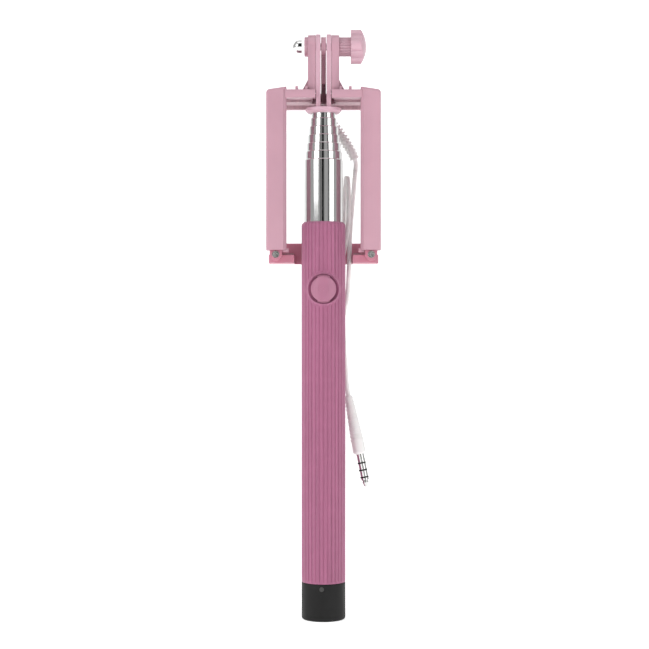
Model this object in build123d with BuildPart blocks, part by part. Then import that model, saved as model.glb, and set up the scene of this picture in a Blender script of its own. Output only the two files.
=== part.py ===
from build123d import *
import os
from math import cos, radians, sin

# Telescopic selfie stick with a wired shutter button and a sprung phone clamp.
# It is modelled stowed: the tube is pushed in and the clamp hangs down over the
# handle.  Millimetres.  +Z runs up the stick, -Y is the button side, and the
# origin is the centre of the end cap's bottom face.

# ---- handle ---------------------------------------------------------------
HANDLE_R = 9.0
CAP_TOP = 15.3
CAP_FLOOR = 3.0
CAP_EDGE = 1.0
SLEEVE_BOTTOM = CAP_TOP + 0.05
SLEEVE_TOP = 162.5
SLEEVE_EDGE = 1.6
RIB_COUNT = 34
RIB_GAP = 0.7
RIB_DEPTH = 0.35
RIB_MARGIN = 1.0
FIT = 0.02

# ---- telescopic tubes, outermost first ------------------------------------
TUBE_R = [8.0 - 0.5 * step for step in range(7)]
TUBE_WALL = 0.3
TUBE_GLIDE = 0.03
FIRST_TOP = 188.0
TOP_STEP = 3.36
STROKE = 120.0
CRIMP = 2.5
BUSH_HEIGHT = 6.0
BUSH_SLIT = 0.8
STROKE_MARGIN = 0.2

# ---- shutter button and its switch ----------------------------------------
BUTTON_Z = 134.9
BUTTON_R = 5.1
BUTTON_FRONT = -11.0
BUTTON_FACE_R = 7.9
BUTTON_BACK_R = 6.3
RIM_R = 6.6
RIM_FRONT = -10.5
RIM_FACE_R = 7.6
BULGE_Y = RIM_FRONT + RIM_FACE_R
POCKET_R = 5.95
POCKET_FACE_R = 6.9
TAB_R = 5.7
TAB_WIDTH = 5.0
TAB_FACE_R = 6.75
RECESS_R = 4.2
RECESS_FACE_R = 7.0
BOARD_WIDTH = 5.0
BOARD_LENGTH = 6.0
BOARD_BACK = -8.35
BOARD_FRONT = -8.75
SWITCH_SIDE = 3.0
SWITCH_FRONT = -9.2
PLUNGER_R = 0.7
PLUNGER_FRONT = -9.45
PLUNGER_BACK = -9.02
NUB_R = 1.0
LEAD_R = 0.15
LEAD_X = 0.3
LEAD_Y = -8.2
LEAD_INSIDE_Y = -5.0
LEAD_HOLE_Z = 20.0

# ---- cord -----------------------------------------------------------------
ANCHOR_TOP = 11.0
COIL_R = 3.1
COIL_PITCH = 3.0
COIL_BOTTOM = 24.0
COIL_TURNS = 52
CORD_R = 0.8
CORD_TOP = 198.0
CABLE_R = 0.95
PASSAGE_R = 1.15

# ---- strain relief and plug ------------------------------------------------
RELIEF_END = (13.0, 9.9, 189.3)
RELIEF_END_AXIS = (0.4, 0, -0.92)
RELIEF_CORE_R = 1.7
RELIEF_RIBS = 13
RELIEF_RIB = 0.8
RELIEF_ROOT_R = 2.8
RELIEF_TIP_R = 2.0
PLUG_TOP = Vector(10.3, 7.6, 91.0)
PLUG_TIP = Vector(17.7, 6.1, 53.5)
PLUG_BODY = 24.6
PIN_SHANK_R = 1.75
PLUG_RIBS = 12

# ---- head: flange and fins on the innermost tube ---------------------------
FLANGE_R = 7.3
FLANGE_BOTTOM = 207.0
FLANGE_TOP = 209.0
SPIGOT_LENGTH = 9.0
SPIGOT_BORE_R = 4.15
CHANNEL_HALF = 1.3
CHANNEL_BOTTOM = 205.9
CHANNEL_TOP = 208.4
PIVOT_Z = 234.3
FIN_IN = 1.23
FIN_OUT = 3.08
FIN_R = 5.1
OUTLET_R = 3.3
OUTLET_START = (0, 9.6, 207.1)
OUTLET_AXIS = (0.68, 0.02, -0.73)
OUTLET_LENGTH = 3.0

# ---- phone clamp ----------------------------------------------------------
EAR_IN = 3.15
EAR_OUT = 6.4
EAR_R = 4.8
PRONG_HALF = 1.0
PRONG_BOTTOM = 219.0
PRONG_FRONT = -1.0
PRONG_R = 4.0
PRONG_FOOT_BACK = 9.5
GUSSET_HALF_DEPTH = 3.2
JAW_TOP = 215.9
JAW_BOTTOM = 212.6
JAW_FRONT = -7.0
JAW_BACK = 15.0
JAW_HALF = 21.0
JAW_CORNER_R = 3.0
LIP_INSET = 3.0
LIP_FRONT = 12.5
UPPER_LIP_BOTTOM = 210.3
STICK_SLOT_HALF = 4.4
FRONT_SLOT_HALF = 3.3
FRONT_BAR_BACK = -4.0
STICK_SLOT_BACK = 5.5
RAIL_IN = 15.15
RAIL_OUT = 23.3
RAIL_FRONT = -7.5
RAIL_BACK = 0.5
RAIL_BOTTOM = 150.8
RAIL_TOP = 217.1
RAIL_SLOPE = 1.2
RAIL_MID = 19.4
CAVITY_HALF = 2.75
CAVITY_FRONT = -6.3
CAVITY_TOP = 209.5
COVER_HALF = 3.3
COVER_THICK = 1.0
COVER_BOTTOM = 152.0
COVER_TOP = 215.6
COVER_SCREW_Z = 212.4
PAD_THICK = 0.8

# ---- lower jaw and its slider arms ----------------------------------------
ARM_HALF = 2.5
ARM_FRONT = -6.1
ARM_BACK = -2.2
ARM_END_Z = 149.0
ARM_TOP = 190.5
JAW_SCREW_R = 0.9
JAW_SCREW_HEAD_R = 1.45
LOWER_TOP = 149.0
LOWER_BOTTOM = 145.7
LOWER_HALF = 22.5
LOWER_LIP_TOP = 154.4
NOTCH_HALF = 12.0
TAB_FRONT = -2.15
TAB_BACK = 1.5
TAB_TOP = 150.6

# ---- springs --------------------------------------------------------------
SPRING_Y = (ARM_FRONT + ARM_BACK) / 2
SPRING_R = 1.7
SPRING_WIRE = 0.25
SPRING_PITCH = 0.8
SPRING_TURNS = 15
HOOK_R = 1.0
PIN_R = 0.6
ARM_PIN_Z = 188.5
FRAME_PIN_Z = 206.5

# ---- hinge hardware -------------------------------------------------------
BOLT_R = 1.5
BOLT_HOLE_R = 1.55
HEX_R = 5.5 / 2 / cos(radians(30))
BOSS_R = 4.0
BOSS_FACE = -7.8
NUT_INNER = -6.7
NUT_HEX = 2.2
NUT_DOME_R = 2.75
NUT_TIP = -12.7
BOLT_TIP = -11.0
KNOB_INNER = 6.45
KNOB_NECK_R = 3.9
KNOB_STEP = 11.2
KNOB_TIP = 17.5
KNOB_R = 7.0
KNOB_LOBE_R = 2.5
KNOB_DOME_R = 12.2
BOLT_HEAD_INNER = 12.5
BOLT_HEAD_OUTER = 15.0

CENTRE_TOP = (Align.CENTER, Align.CENTER, Align.MAX)
CENTRE_BOTTOM = (Align.CENTER, Align.CENTER, Align.MIN)
SIDES = (-1, 1)

os.makedirs("parts", exist_ok=True)


def save(piece, name):
    """Label a finished piece and write it as its own STEP file."""
    piece.part.label = name
    export_step(piece.part, f"parts/{name}.step")


def slab(low, high, mode=Mode.ADD):
    """A box between two opposite corners, in the part being built."""
    size = [b - a for a, b in zip(low, high)]
    with Locations(low):
        Box(*size, align=Align.MIN, mode=mode)


# ---- handle ---------------------------------------------------------------
cap_screw_turn = radians(-5)
cap_screw_out = (sin(cap_screw_turn), -cos(cap_screw_turn), 0)
CAP_SCREW_Z = 13.3
CAP_SCREW_PLACE = Plane(
    origin=(HANDLE_R * cap_screw_out[0], HANDLE_R * cap_screw_out[1], CAP_SCREW_Z),
    z_dir=cap_screw_out,
)
CAP_SCREW_HEAD_R = 0.95
CAP_SCREW_R = 0.5
CAP_SCREW_LENGTH = 2.4

with BuildPart() as end_cap:
    with BuildSketch():
        Circle(HANDLE_R)
    extrude(amount=CAP_TOP)
    fillet(end_cap.faces().sort_by(Axis.Z)[0].edges(), CAP_EDGE)
    chamfer(end_cap.faces().sort_by(Axis.Z)[-1].edges(), 0.25)
    with BuildSketch(Plane.XY.offset(CAP_FLOOR)):
        Circle(TUBE_R[0] + FIT)
    extrude(amount=CAP_TOP, mode=Mode.SUBTRACT)
    with Locations(CAP_SCREW_PLACE):
        Cylinder(CAP_SCREW_R + FIT, 2 * CAP_SCREW_LENGTH, mode=Mode.SUBTRACT)
        Cylinder(CAP_SCREW_HEAD_R + FIT, 1.2, mode=Mode.SUBTRACT)
save(end_cap, "end_cap")

with BuildPart() as cap_screw:
    with Locations(CAP_SCREW_PLACE.offset(-0.1)):
        Cylinder(CAP_SCREW_HEAD_R, 0.48, align=CENTRE_TOP)
        Cylinder(CAP_SCREW_R, CAP_SCREW_LENGTH, align=CENTRE_TOP)
        Box(1.3, 0.3, 0.25, align=CENTRE_TOP, mode=Mode.SUBTRACT)
        Box(0.3, 1.3, 0.25, align=CENTRE_TOP, mode=Mode.SUBTRACT)
save(cap_screw, "cap_screw")


def curved_disc(disc_r, face_r, face_y, back_y):
    """Disc round the button's axis, its -Y face part of an upright cylinder."""
    with BuildPart() as disc:
        with BuildSketch(Plane.XZ.offset(-back_y)):
            with Locations((0, BUTTON_Z)):
                Circle(disc_r)
        extrude(amount=HANDLE_R)
        with BuildSketch(Plane.XY.offset(BUTTON_Z - HANDLE_R)):
            with Locations((0, face_y)):
                Circle(face_r)
        extrude(amount=2 * HANDLE_R, mode=Mode.INTERSECT)
    return disc.part


RIM_BACK = -4.0
rim_blank = curved_disc(RIM_R, RIM_FACE_R, BULGE_Y, RIM_BACK)
pocket_blank = curved_disc(POCKET_R, POCKET_FACE_R, BULGE_Y, RIM_BACK)

with BuildPart() as grip_sleeve:
    with BuildSketch(Plane.XY.offset(SLEEVE_BOTTOM)):
        Circle(HANDLE_R)
    extrude(amount=SLEEVE_TOP - SLEEVE_BOTTOM)
    fillet(grip_sleeve.faces().sort_by(Axis.Z)[-1].edges(), SLEEVE_EDGE)
    with BuildSketch(Plane.XY.offset(SLEEVE_BOTTOM + RIB_MARGIN)):
        with PolarLocations(HANDLE_R, RIB_COUNT, start_angle=-90):
            Rectangle(2 * RIB_DEPTH, RIB_GAP)
    extrude(amount=SLEEVE_TOP - SLEEVE_BOTTOM, mode=Mode.SUBTRACT)
    add(rim_blank)
    with BuildSketch(Plane.XY.offset(SLEEVE_BOTTOM)):
        Circle(TUBE_R[0] + FIT)
    extrude(amount=SLEEVE_TOP, mode=Mode.SUBTRACT)
    add(pocket_blank, mode=Mode.SUBTRACT)
    with BuildSketch(Plane.XZ.offset(HANDLE_R / 2)):
        with Locations((0, BUTTON_Z)):
            Circle(BUTTON_R + 0.2)
    extrude(amount=HANDLE_R, mode=Mode.SUBTRACT)
    slab((-0.7, -8.4, SLEEVE_BOTTOM), (0.7, -7.5, BUTTON_Z), mode=Mode.SUBTRACT)
save(grip_sleeve, "grip_sleeve")

button_blank = curved_disc(BUTTON_R, BUTTON_FACE_R, BUTTON_FRONT + BUTTON_FACE_R, RIM_BACK)
tab_blank = curved_disc(TAB_R, TAB_FACE_R, BULGE_Y, RIM_BACK)
recess_blank = curved_disc(RECESS_R, RECESS_FACE_R, BULGE_Y, RIM_BACK)

with BuildPart() as button_cap:
    add(tab_blank)
    slab(
        (-TAB_WIDTH / 2, BUTTON_FRONT, BUTTON_Z - TAB_R),
        (TAB_WIDTH / 2, RIM_BACK, BUTTON_Z + TAB_R),
        mode=Mode.INTERSECT,
    )
    add(button_blank)
    fillet(button_cap.faces().sort_by(Axis.Y)[0].edges(), 0.3)
    with BuildSketch(Plane.XY.offset(BUTTON_Z - HANDLE_R)):
        with Locations((0, BULGE_Y)):
            Circle(BUTTON_BACK_R)
    extrude(amount=2 * HANDLE_R, mode=Mode.SUBTRACT)
    add(recess_blank, mode=Mode.SUBTRACT)
    with BuildSketch(Plane.XZ.offset(-PLUNGER_FRONT + 0.01)):
        with Locations((0, BUTTON_Z)):
            Circle(NUB_R)
    extrude(amount=0.8)
save(button_cap, "button_cap")

board_low = BUTTON_Z - BOARD_LENGTH / 2
board_high = BUTTON_Z + BOARD_LENGTH / 2

with BuildPart() as switch_carrier:
    slab((-BOARD_WIDTH / 2, BOARD_BACK, board_low), (BOARD_WIDTH / 2, -7.5, board_high))
    with BuildSketch(Plane.XY.offset(board_low)):
        Circle(TUBE_R[0] + FIT)
    extrude(amount=BOARD_LENGTH, mode=Mode.SUBTRACT)
save(switch_carrier, "switch_carrier")

with BuildPart() as switch_board:
    slab((-BOARD_WIDTH / 2, BOARD_FRONT, board_low), (BOARD_WIDTH / 2, BOARD_BACK, board_high))
save(switch_board, "switch_board")

with BuildPart() as tact_switch:
    half = SWITCH_SIDE / 2
    slab((-half, SWITCH_FRONT, BUTTON_Z - half), (half, BOARD_FRONT, BUTTON_Z + half))
    with BuildSketch(Plane.XZ.offset(-BOARD_FRONT)):
        with Locations((0, BUTTON_Z)):
            Circle(PLUNGER_R + 0.05)
    extrude(amount=1, mode=Mode.SUBTRACT)
save(tact_switch, "tact_switch")

with BuildPart() as switch_plunger:
    with BuildSketch(Plane.XZ.offset(-PLUNGER_BACK)):
        with Locations((0, BUTTON_Z)):
            Circle(PLUNGER_R)
    extrude(amount=PLUNGER_BACK - PLUNGER_FRONT)
save(switch_plunger, "switch_plunger")


def lead(x):
    """One switch wire, down under the sleeve and in through the tube's hole."""
    with BuildPart() as wire:
        with BuildLine():
            route = Polyline(
                (x, LEAD_Y, board_low - FIT),
                (x, LEAD_Y, LEAD_HOLE_Z),
                (x, LEAD_INSIDE_Y, LEAD_HOLE_Z),
                (x, LEAD_INSIDE_Y, ANCHOR_TOP + FIT),
            )
        with BuildSketch(Plane(origin=route @ 0, z_dir=route % 0)):
            Circle(LEAD_R)
        sweep(transition=Transition.RIGHT)
    return wire.part


lead_left = lead(-LEAD_X)
lead_right = lead(LEAD_X)

with BuildPart() as switch_leads:
    add(lead_left)
    add(lead_right)
save(switch_leads, "switch_leads")

with BuildPart() as cord_anchor:
    with BuildSketch(Plane.XY.offset(CAP_FLOOR + FIT)):
        Circle(TUBE_R[0] - TUBE_WALL - FIT)
    extrude(amount=ANCHOR_TOP - CAP_FLOOR - FIT)
    chamfer(cord_anchor.edges().filter_by(GeomType.CIRCLE), 0.5)
    with BuildSketch(Plane.XY.offset(CAP_FLOOR + 2)):
        with Locations((COIL_R, 0)):
            Circle(CORD_R + FIT)
    extrude(amount=ANCHOR_TOP, mode=Mode.SUBTRACT)
    with Locations(CAP_SCREW_PLACE):
        Cylinder(CAP_SCREW_R + FIT, 2 * CAP_SCREW_LENGTH, mode=Mode.SUBTRACT)
save(cord_anchor, "cord_anchor")

with BuildPart() as coil_cord:
    with BuildLine():
        coil = Helix(COIL_PITCH, COIL_PITCH * COIL_TURNS, COIL_R, center=(0, 0, COIL_BOTTOM))
    with BuildSketch(Plane(origin=coil @ 0, z_dir=coil % 0)):
        Circle(CORD_R)
    sweep(is_frenet=True)
    for end, reach in ((coil @ 0, CAP_FLOOR + 2.1), (coil @ 1, CORD_TOP)):
        with Locations(end):
            Sphere(CORD_R + 0.05)
        with Locations((end.X, end.Y, min(end.Z, reach))):
            Cylinder(CORD_R, abs(end.Z - reach), align=CENTRE_BOTTOM)
save(coil_cord, "coil_cord")


# ---- telescopic tubes -----------------------------------------------------
def tube_top(step):
    """Height of a tube's open end; the innermost one stops under the flange."""
    return FLANGE_BOTTOM if step == 6 else FIRST_TOP + TOP_STEP * step


def tube_bottom(step):
    """Height of a tube's lower end, which leaves the stroke above its bush."""
    if step == 0:
        return CAP_FLOOR + FIT
    return tube_top(step - 1) - CRIMP - BUSH_HEIGHT - STROKE - STROKE_MARGIN


for step, radius in enumerate(TUBE_R):
    bottom = tube_bottom(step)
    top = tube_top(step)
    with BuildPart() as tube:
        with BuildSketch(Plane.XY.offset(bottom)):
            Circle(radius)
            Circle(radius - TUBE_WALL, mode=Mode.SUBTRACT)
        extrude(amount=top - bottom)
        if step < 6:
            with BuildSketch(Plane.XY.offset(top - CRIMP)):
                Circle(radius - TUBE_WALL)
                Circle(TUBE_R[step + 1] + TUBE_GLIDE, mode=Mode.SUBTRACT)
            extrude(amount=CRIMP)
            rim = tube.edges().filter_by(GeomType.CIRCLE).group_by(Axis.Z)[-1].sort_by(SortBy.RADIUS)
            chamfer(rim[-1], 0.3)
        if step == 0:
            slab((-0.8, -9, LEAD_HOLE_Z - 0.6), (0.8, -7, LEAD_HOLE_Z + 0.6), mode=Mode.SUBTRACT)
            with Locations(CAP_SCREW_PLACE):
                Cylinder(CAP_SCREW_R + FIT, 2 * CAP_SCREW_LENGTH, mode=Mode.SUBTRACT)
        if step == 6:
            slab(
                (-CHANNEL_HALF, 0, CHANNEL_BOTTOM - 0.1),
                (CHANNEL_HALF, radius + 1, top + 1),
                mode=Mode.SUBTRACT,
            )
    save(tube, "outer_tube" if step == 0 else f"section_tube_{step}")

for step in range(1, 7):
    bottom = tube_bottom(step)
    with BuildPart() as bush:
        with BuildSketch(Plane.XY.offset(bottom)):
            Circle(TUBE_R[step - 1] - TUBE_WALL - TUBE_GLIDE)
            Circle(TUBE_R[step] + 0.01, mode=Mode.SUBTRACT)
            with Locations((0, TUBE_R[step])):
                Rectangle(BUSH_SLIT, 2, mode=Mode.SUBTRACT)
        extrude(amount=BUSH_HEIGHT)
    save(bush, f"friction_bush_{step}")

# ---- head -----------------------------------------------------------------
outlet_place = Plane(origin=OUTLET_START, z_dir=OUTLET_AXIS)
PIVOT = Plane(origin=(0, 0, PIVOT_Z), x_dir=(0, 1, 0), z_dir=(1, 0, 0))

relief_start = outlet_place.origin + outlet_place.z_dir * (OUTLET_LENGTH + FIT)
relief_line = Spline(
    relief_start, RELIEF_END, tangents=(outlet_place.z_dir, RELIEF_END_AXIS)
)

inner_route = Spline(
    (COIL_R, 0, CORD_TOP + FIT),
    (0.6, 0.8, 205.0),
    (0, 5.0, 207.4),
    OUTLET_START,
    tangents=((0, 0, 1), OUTLET_AXIS),
)
outlet_route = Line(OUTLET_START, relief_start)

with BuildPart() as outlet_boss:
    with Locations(outlet_place.offset(-OUTLET_LENGTH)):
        Cylinder(OUTLET_R, 2 * OUTLET_LENGTH, align=CENTRE_BOTTOM)
    split(bisect_by=Plane.XY.offset(FLANGE_TOP), keep=Keep.BOTTOM)

with BuildPart() as neck_base:
    with BuildSketch(Plane.XY.offset(FLANGE_BOTTOM)):
        Circle(FLANGE_R)
    extrude(amount=FLANGE_TOP - FLANGE_BOTTOM)
    chamfer(neck_base.faces().sort_by(Axis.Z)[0].edges(), 0.9)
    with BuildSketch(Plane.XY.offset(FLANGE_BOTTOM)):
        Circle(TUBE_R[6] - TUBE_WALL - FIT)
    extrude(amount=-SPIGOT_LENGTH)
    slab((-2.6, 4, FLANGE_BOTTOM), (2.6, OUTLET_START[1], FLANGE_TOP))
    add(outlet_boss.part)
    with BuildSketch(Plane.YZ.offset(-FIN_OUT)):
        with Locations((0, (FLANGE_TOP + PIVOT_Z) / 2)):
            Rectangle(2 * FIN_R, PIVOT_Z - FLANGE_TOP + 1)
        with Locations((0, PIVOT_Z)):
            Circle(FIN_R)
    extrude(amount=2 * FIN_OUT)
    slab((-FIN_IN, -FIN_R - 1, FLANGE_TOP + 0.3), (FIN_IN, FIN_R + 1, PIVOT_Z + FIN_R + 1),
         mode=Mode.SUBTRACT)
    with Locations((0, 0, FLANGE_BOTTOM - SPIGOT_LENGTH)):
        Cylinder(SPIGOT_BORE_R, SPIGOT_LENGTH + CHANNEL_TOP - FLANGE_BOTTOM,
                 align=CENTRE_BOTTOM, mode=Mode.SUBTRACT)
    with Locations(OUTLET_START):
        Sphere(PASSAGE_R + 0.1, mode=Mode.SUBTRACT)
    for route in (inner_route, outlet_route):
        with BuildSketch(Plane(origin=route @ 0, z_dir=route % 0)):
            Circle(PASSAGE_R)
        sweep(path=route, mode=Mode.SUBTRACT)
    with Locations(PIVOT):
        Cylinder(BOLT_HOLE_R, 4 * FIN_R, mode=Mode.SUBTRACT)
save(neck_base, "neck_base")


# ---- strain relief, cable and plug ----------------------------------------
with BuildPart() as cable_strain_relief:
    with BuildLine():
        add(relief_line)
    with BuildSketch(Plane(origin=relief_line @ 0, z_dir=relief_line % 0)):
        Circle(RELIEF_CORE_R)
    sweep()
    for rib in range(RELIEF_RIBS):
        along = rib / (RELIEF_RIBS - 1)
        place = Plane(origin=relief_line @ along, z_dir=relief_line % along)
        inset = 0 if rib == 0 else -RELIEF_RIB
        with Locations(place.offset(inset)):
            rib_r = RELIEF_ROOT_R + along * (RELIEF_TIP_R - RELIEF_ROOT_R)
            Cylinder(rib_r, RELIEF_RIB, align=CENTRE_BOTTOM)
    with BuildSketch(Plane(origin=relief_line @ 0, z_dir=relief_line % 0)):
        Circle(CABLE_R + FIT)
    sweep(path=relief_line, mode=Mode.SUBTRACT)
save(cable_strain_relief, "cable_strain_relief")

plug_axis = (PLUG_TIP - PLUG_TOP).normalized()
hanging_route = Spline(
    RELIEF_END,
    (13.3, 9.6, 185.0),
    (12.6, 8.9, 177.0),
    (11.8, 8.2, 168.0),
    (11.0, 7.6, 158.0),
    (10.7, 7.0, 148.0),
    (10.3, 6.6, 138.0),
    (9.3, 6.7, 128.5),
    (6.6, 8.7, 119.5),
    (3.0, 10.5, 114.5),
    (-0.6, 11.2, 112.8),
    (-3.4, 11.3, 116.5),
    (-3.2, 11.3, 122.5),
    (-0.4, 11.2, 129.5),
    (3.6, 10.5, 136.0),
    (6.6, 8.7, 143.0),
    (8.6, 6.1, 150.5),
    (9.8, 4.5, 158.5),
    (10.3, 4.4, 167.0),
    (10.3, 5.2, 176.0),
    (10.1, 6.0, 182.0),
    (10.0, 6.7, 183.7),
    (9.7, 8.3, 184.4),
    (9.5, 9.9, 183.7),
    (9.3, 10.6, 182.0),
    (8.9, 11.0, 174.0),
    (8.5, 11.1, 163.0),
    (8.2, 11.0, 151.0),
    (8.1, 10.8, 139.0),
    (8.1, 10.7, 127.0),
    (8.4, 10.3, 115.0),
    (9.1, 9.4, 104.0),
    (9.8, 8.4, 96.5),
    PLUG_TOP,
    tangents=(RELIEF_END_AXIS, plug_axis),
    tangent_scalars=(1, 1),
)

with BuildPart() as cable:
    with BuildLine():
        add(inner_route)
        add(outlet_route)
        add(relief_line)
        add(hanging_route)
    with BuildSketch(Plane(origin=inner_route @ 0, z_dir=inner_route % 0)):
        Circle(CABLE_R)
    sweep()
save(cable, "cable")

plug_place = Plane(origin=PLUG_TOP, z_dir=plug_axis)


def turned(*stations):
    """Cones end to end along the work plane's axis, through (distance, radius) stations."""
    for (start, start_r), (end, end_r) in zip(stations, stations[1:]):
        with Locations((0, 0, start)):
            if start_r == end_r:
                Cylinder(start_r, end - start, align=CENTRE_BOTTOM)
            else:
                Cone(start_r, end_r, end - start, align=CENTRE_BOTTOM)


with BuildPart(plug_place) as plug_overmold:
    turned((0, 1.4), (5.0, 1.9), (14.0, 2.4), (21.0, 2.7), (23.8, 2.75), (PLUG_BODY, 2.1))
    for rib in range(PLUG_RIBS):
        with Locations((0, 0, 1.6 * rib + 0.6)):
            Cone(1.75 + 0.095 * rib, 1.82 + 0.095 * rib, 0.9, align=CENTRE_BOTTOM)
save(plug_overmold, "plug_overmold")

PIN_CORE_R = 1.0
SLEEVE_END = PLUG_BODY + 3.4
CONTACT_GAP = 0.6
RING_LENGTH = 2.4
ring_starts = [SLEEVE_END + CONTACT_GAP, SLEEVE_END + 2 * CONTACT_GAP + RING_LENGTH]
tip_start = ring_starts[1] + RING_LENGTH + CONTACT_GAP
tip_end = PLUG_BODY + 14.0

with BuildPart(plug_place) as plug_insulator:
    turned((PLUG_BODY + FIT, PIN_CORE_R), (tip_start + 1.0, PIN_CORE_R))
    for gap_end in (ring_starts[0], ring_starts[1], tip_start):
        turned((gap_end - CONTACT_GAP, PIN_SHANK_R), (gap_end, PIN_SHANK_R))
save(plug_insulator, "plug_insulator")

contact_spans = {
    "plug_sleeve": (PLUG_BODY + FIT, SLEEVE_END - FIT),
    "plug_ring_1": (ring_starts[0] + FIT, ring_starts[0] + RING_LENGTH - FIT),
    "plug_ring_2": (ring_starts[1] + FIT, ring_starts[1] + RING_LENGTH - FIT),
}
for name, (start, end) in contact_spans.items():
    with BuildPart(plug_place) as contact:
        turned((start, PIN_SHANK_R), (end, PIN_SHANK_R))
        with Locations((0, 0, start)):
            Cylinder(PIN_CORE_R + FIT, end - start, align=CENTRE_BOTTOM, mode=Mode.SUBTRACT)
    save(contact, name)

with BuildPart(plug_place) as plug_tip:
    turned(
        (tip_start + FIT, PIN_SHANK_R),
        (tip_start + 0.9, PIN_SHANK_R),
        (tip_start + 1.4, 1.15),
        (tip_start + 1.9, 1.6),
        (tip_end - 0.5, 0.9),
        (tip_end, 0.3),
    )
    with Locations((0, 0, tip_start)):
        Cylinder(PIN_CORE_R + FIT, 1.0 + FIT, align=CENTRE_BOTTOM, mode=Mode.SUBTRACT)
save(plug_tip, "plug_tip")


# ---- clamp frame ----------------------------------------------------------
GUSSET_OUT = 8.6
GUSSET_HEIGHT = 4.4
RIB_PLACES = (7.0, 10.9)
JAW_RIB_WIDTH = 1.1
JAW_RIB_HEIGHT = 1.4
FOOT_WIDTH = 2.4
FOOT_HEIGHT = 0.8


def upright_at(x):
    """Plane facing +X at the given x, with its x along +Y and its y along +Z."""
    return Plane(origin=(x, 0, 0), x_dir=(0, 1, 0), z_dir=(1, 0, 0))


def lug(x_from, x_to, low):
    """Hinge lug: a plate between two x, rounded over the pivot."""
    with BuildSketch(upright_at(x_from)) as profile:
        with Locations((0, (low + PIVOT_Z) / 2)):
            Rectangle(2 * EAR_R, PIVOT_Z - low)
        with Locations((0, PIVOT_Z)):
            Circle(EAR_R)
    extrude(profile.sketch, amount=x_to - x_from)


def rail(side):
    """Channel rail open to the back, with a sloping top and a slider cavity."""
    with BuildPart() as body:
        with BuildSketch(Plane.XZ.offset(-RAIL_BACK)):
            with BuildLine():
                Polyline(
                    (side * RAIL_IN, RAIL_BOTTOM),
                    (side * RAIL_OUT, RAIL_BOTTOM),
                    (side * RAIL_OUT, RAIL_TOP - RAIL_SLOPE),
                    (side * RAIL_IN, RAIL_TOP),
                    close=True,
                )
            make_face()
        extrude(amount=RAIL_BACK - RAIL_FRONT)
        outer = body.edges().filter_by(Axis.Y).sort_by(lambda edge: side * edge.center().X)
        top_corner = outer[-2:].sort_by(Axis.Z)[-1]
        fillet(top_corner, 1.5)
        front = body.faces().sort_by(Axis.Y)[0].edges().filter_by(Axis.Z)
        inner_front = front.sort_by(lambda edge: side * edge.center().X)[0]
        chamfer(inner_front, 1.2)
        outer_front = body.faces().sort_by(Axis.Y)[0].edges().filter_by(Axis.Z)
        fillet(outer_front.sort_by(lambda edge: side * edge.center().X)[-1], 0.8)
        mid = side * RAIL_MID
        slab(
            (mid - CAVITY_HALF, CAVITY_FRONT, RAIL_BOTTOM - 1),
            (mid + CAVITY_HALF, RAIL_BACK + 1, CAVITY_TOP),
            mode=Mode.SUBTRACT,
        )
        slab(
            (mid - COVER_HALF - FIT, RAIL_BACK - COVER_THICK, COVER_BOTTOM - FIT),
            (mid + COVER_HALF + FIT, RAIL_BACK + 1, COVER_TOP + FIT),
            mode=Mode.SUBTRACT,
        )
        with Locations(Plane.XZ):
            with Locations((mid, FRAME_PIN_Z)):
                Cylinder(PIN_R, 14, mode=Mode.SUBTRACT)
            with Locations((mid, COVER_SCREW_Z)):
                Cylinder(0.6, 9, mode=Mode.SUBTRACT)
        foot_in = side * (RAIL_IN - 0.9)
        slab(
            (min(foot_in, foot_in + side * FOOT_WIDTH), -4.5, RAIL_BOTTOM - FOOT_HEIGHT),
            (max(foot_in, foot_in + side * FOOT_WIDTH), -1.0, RAIL_BOTTOM + FOOT_HEIGHT),
        )
        slab(
            (mid - CAVITY_HALF, CAVITY_FRONT, RAIL_BOTTOM - 1),
            (mid + CAVITY_HALF, RAIL_BACK + 1, RAIL_BOTTOM + 1),
            mode=Mode.SUBTRACT,
        )
    return body.part


rails = [rail(side) for side in SIDES]

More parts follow.
